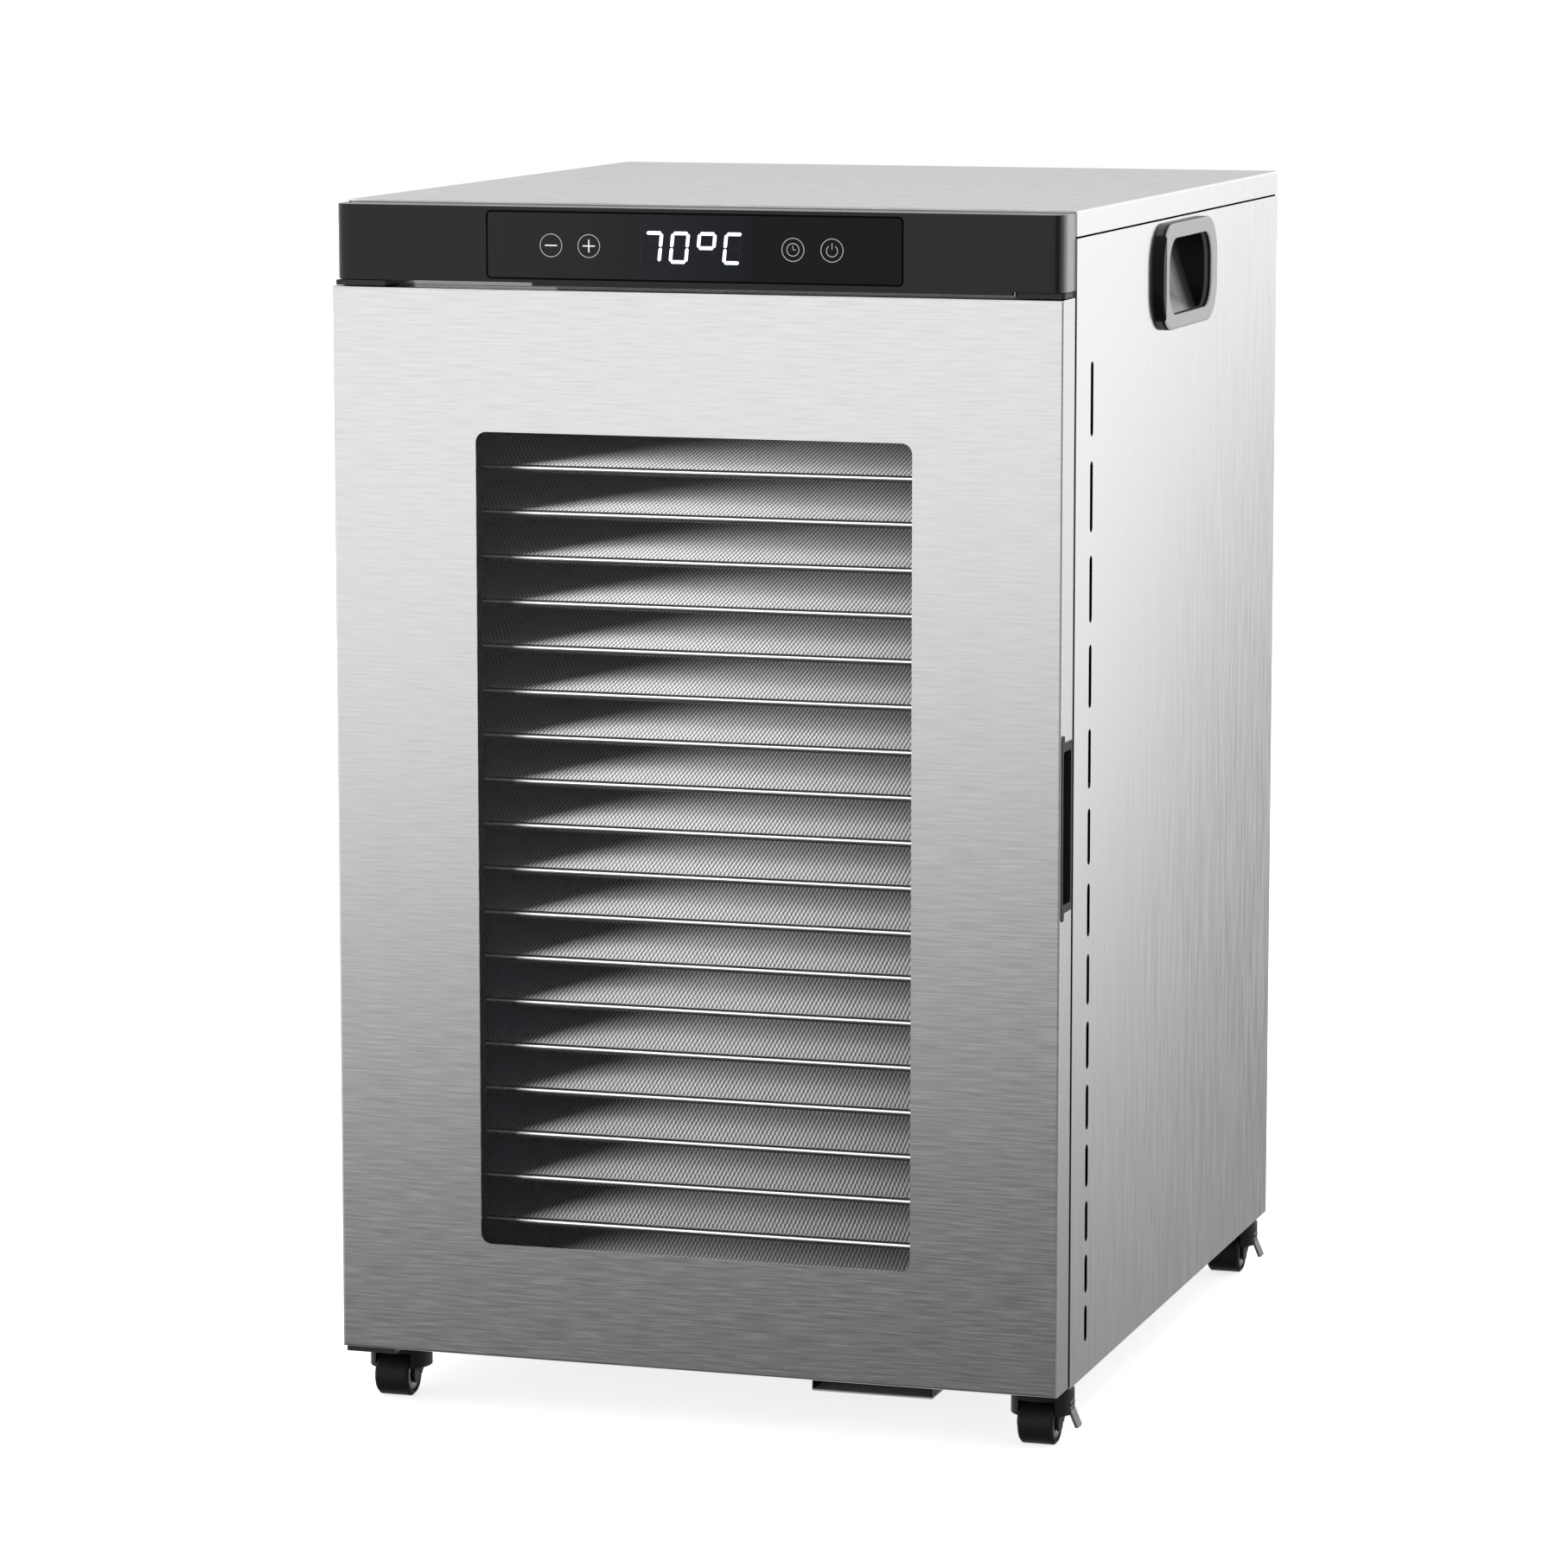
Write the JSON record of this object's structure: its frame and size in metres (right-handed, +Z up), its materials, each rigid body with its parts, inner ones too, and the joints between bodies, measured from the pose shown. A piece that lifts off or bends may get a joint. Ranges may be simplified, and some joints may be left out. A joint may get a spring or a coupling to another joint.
{
  "type": "food dehydrator",
  "caption": "Upright steel cabinet dehydrator with a glazed hinged door, stacked sliding mesh trays, rear fan, touch control head, carry cups and swivel casters, two of them braked.",
  "frame": {"origin": "bottom centre of the whole object with the door shut, on the floor under the wheels", "axes": "+X to the right seen from the front, +Y to the back, +Z up"},
  "size_m": [0.46, 0.55, 0.733],
  "materials": {
    "case_steel": "brushed, satin",
    "inner_steel": "plain rolled",
    "tray_steel": "polished wire",
    "motor_steel": "plain",
    "lever_steel": "zinc plated",
    "black_metal": "satin black",
    "fan_aluminium": "plain",
    "heater_aluminium": "plain",
    "black_plastic": "fine moulded grain",
    "gloss_black": "gloss",
    "board": "satin",
    "glass": "clear tempered",
    "seal_rubber": "matt",
    "wheel_rubber": "matt"
  },
  "bodies": {
    "cabinet": {"air_baffle": "inner_steel", "back_panel": "case_steel", "base_channel": "case_steel", "base_pan": "case_steel", "carry_handles": "black_plastic", "caster_plates": "black_metal", "chamber_plates": "inner_steel", "chamber_walls": "inner_steel", "control_board": "board", "control_fascia": "gloss_black", "control_housing": "black_plastic", "door_catch": "black_metal", "fan_motor": "motor_steel", "front_frame": "case_steel", "heating_elements": "heater_aluminium", "hinge_brackets": "black_metal", "left_side_panel": "case_steel", "mains_inlet": "black_plastic", "motor_bracket": "inner_steel", "right_side_panel": "case_steel", "temperature_probe": "motor_steel", "top_cover": "case_steel", "tray_runners": "inner_steel"},
    "door": {"door_skin": "case_steel", "door_glass": "glass", "door_inner_panel": "black_metal", "door_gasket": "seal_rubber", "door_pull": "black_plastic"},
    "fan": {"fan_rotor": "fan_aluminium"},
    "front_left_swivel": {"front_left_fork": "black_plastic"},
    "front_left_wheel_body": {"front_left_wheel": "wheel_rubber"},
    "front_right_swivel": {"front_right_fork": "black_plastic"},
    "front_right_wheel_body": {"front_right_wheel": "wheel_rubber"},
    "front_right_brake": {"front_right_brake_lever": "lever_steel"},
    "rear_left_swivel": {"rear_left_fork": "black_plastic"},
    "rear_left_wheel_body": {"rear_left_wheel": "wheel_rubber"},
    "rear_right_swivel": {"rear_right_fork": "black_plastic"},
    "rear_right_wheel_body": {"rear_right_wheel": "wheel_rubber"},
    "rear_right_brake": {"rear_right_brake_lever": "lever_steel"},
    "tray_01_body": {"tray_01": "tray_steel"},
    "tray_02_body": {"tray_02": "tray_steel"},
    "tray_03_body": {"tray_03": "tray_steel"},
    "tray_04_body": {"tray_04": "tray_steel"},
    "tray_05_body": {"tray_05": "tray_steel"},
    "tray_06_body": {"tray_06": "tray_steel"},
    "tray_07_body": {"tray_07": "tray_steel"},
    "tray_08_body": {"tray_08": "tray_steel"},
    "tray_09_body": {"tray_09": "tray_steel"},
    "tray_10_body": {"tray_10": "tray_steel"},
    "tray_11_body": {"tray_11": "tray_steel"},
    "tray_12_body": {"tray_12": "tray_steel"},
    "tray_13_body": {"tray_13": "tray_steel"},
    "tray_14_body": {"tray_14": "tray_steel"},
    "tray_15_body": {"tray_15": "tray_steel"},
    "tray_16_body": {"tray_16": "tray_steel"},
    "tray_17_body": {"tray_17": "tray_steel"},
    "tray_18_body": {"tray_18": "tray_steel"},
    "tray_19_body": {"tray_19": "tray_steel"},
    "tray_20_body": {"tray_20": "tray_steel"}
  },
  "joints": [
    {"name": "door_hinge", "type": "hinge", "parent": "cabinet", "child": "door", "pos_m": [-0.2185, -0.2619, 0.3605], "axis": [0, 0, -1], "range_deg": [0, 120]},
    {"name": "fan_spin", "type": "hinge", "parent": "cabinet", "child": "fan", "pos_m": [0, 0.183, 0.347], "axis": [0, 1, 0], "continuous": true},
    {"name": "front_left_swivel_turn", "type": "hinge", "parent": "cabinet", "child": "front_left_swivel", "pos_m": [-0.204, -0.229, 0.0314], "axis": [0, 0, 1], "continuous": true},
    {"name": "front_right_swivel_turn", "type": "hinge", "parent": "cabinet", "child": "front_right_swivel", "pos_m": [0.204, -0.229, 0.0314], "axis": [0, 0, 1], "continuous": true},
    {"name": "rear_left_swivel_turn", "type": "hinge", "parent": "cabinet", "child": "rear_left_swivel", "pos_m": [-0.204, 0.255, 0.0314], "axis": [0, 0, 1], "continuous": true},
    {"name": "rear_right_swivel_turn", "type": "hinge", "parent": "cabinet", "child": "rear_right_swivel", "pos_m": [0.204, 0.255, 0.0314], "axis": [0, 0, 1], "continuous": true},
    {"name": "front_right_brake_tilt", "type": "hinge", "parent": "front_right_swivel", "child": "front_right_brake", "pos_m": [0.2202, -0.229, 0.0245], "axis": [0, -1, 0], "range_deg": [0, 14]},
    {"name": "rear_right_brake_tilt", "type": "hinge", "parent": "rear_right_swivel", "child": "rear_right_brake", "pos_m": [0.2202, 0.255, 0.0245], "axis": [0, -1, 0], "range_deg": [0, 14]},
    {"name": "front_left_wheel_roll", "type": "hinge", "parent": "front_left_swivel", "child": "front_left_wheel_body", "pos_m": [-0.204, -0.235, 0.0135], "axis": [1, 0, 0], "continuous": true},
    {"name": "front_right_wheel_roll", "type": "hinge", "parent": "front_right_swivel", "child": "front_right_wheel_body", "pos_m": [0.204, -0.235, 0.0135], "axis": [1, 0, 0], "continuous": true},
    {"name": "rear_left_wheel_roll", "type": "hinge", "parent": "rear_left_swivel", "child": "rear_left_wheel_body", "pos_m": [-0.204, 0.249, 0.0135], "axis": [1, 0, 0], "continuous": true},
    {"name": "rear_right_wheel_roll", "type": "hinge", "parent": "rear_right_swivel", "child": "rear_right_wheel_body", "pos_m": [0.204, 0.249, 0.0135], "axis": [1, 0, 0], "continuous": true},
    {"name": "tray_01_slide", "type": "slide", "parent": "cabinet", "child": "tray_01_body", "axis": [0, -1, 0], "range_m": [0, 0.008]},
    {"name": "tray_02_slide", "type": "slide", "parent": "cabinet", "child": "tray_02_body", "axis": [0, -1, 0], "range_m": [0, 0.008]},
    {"name": "tray_03_slide", "type": "slide", "parent": "cabinet", "child": "tray_03_body", "axis": [0, -1, 0], "range_m": [0, 0.008]},
    {"name": "tray_04_slide", "type": "slide", "parent": "cabinet", "child": "tray_04_body", "axis": [0, -1, 0], "range_m": [0, 0.008]},
    {"name": "tray_05_slide", "type": "slide", "parent": "cabinet", "child": "tray_05_body", "axis": [0, -1, 0], "range_m": [0, 0.008]},
    {"name": "tray_06_slide", "type": "slide", "parent": "cabinet", "child": "tray_06_body", "axis": [0, -1, 0], "range_m": [0, 0.008]},
    {"name": "tray_07_slide", "type": "slide", "parent": "cabinet", "child": "tray_07_body", "axis": [0, -1, 0], "range_m": [0, 0.008]},
    {"name": "tray_08_slide", "type": "slide", "parent": "cabinet", "child": "tray_08_body", "axis": [0, -1, 0], "range_m": [0, 0.008]},
    {"name": "tray_09_slide", "type": "slide", "parent": "cabinet", "child": "tray_09_body", "axis": [0, -1, 0], "range_m": [0, 0.008]},
    {"name": "tray_10_slide", "type": "slide", "parent": "cabinet", "child": "tray_10_body", "axis": [0, -1, 0], "range_m": [0, 0.008]},
    {"name": "tray_11_slide", "type": "slide", "parent": "cabinet", "child": "tray_11_body", "axis": [0, -1, 0], "range_m": [0, 0.008]},
    {"name": "tray_12_slide", "type": "slide", "parent": "cabinet", "child": "tray_12_body", "axis": [0, -1, 0], "range_m": [0, 0.008]},
    {"name": "tray_13_slide", "type": "slide", "parent": "cabinet", "child": "tray_13_body", "axis": [0, -1, 0], "range_m": [0, 0.008]},
    {"name": "tray_14_slide", "type": "slide", "parent": "cabinet", "child": "tray_14_body", "axis": [0, -1, 0], "range_m": [0, 0.008]},
    {"name": "tray_15_slide", "type": "slide", "parent": "cabinet", "child": "tray_15_body", "axis": [0, -1, 0], "range_m": [0, 0.008]},
    {"name": "tray_16_slide", "type": "slide", "parent": "cabinet", "child": "tray_16_body", "axis": [0, -1, 0], "range_m": [0, 0.008]},
    {"name": "tray_17_slide", "type": "slide", "parent": "cabinet", "child": "tray_17_body", "axis": [0, -1, 0], "range_m": [0, 0.008]},
    {"name": "tray_18_slide", "type": "slide", "parent": "cabinet", "child": "tray_18_body", "axis": [0, -1, 0], "range_m": [0, 0.008]},
    {"name": "tray_19_slide", "type": "slide", "parent": "cabinet", "child": "tray_19_body", "axis": [0, -1, 0], "range_m": [0, 0.008]},
    {"name": "tray_20_slide", "type": "slide", "parent": "cabinet", "child": "tray_20_body", "axis": [0, -1, 0], "range_m": [0, 0.008]}
  ]
}
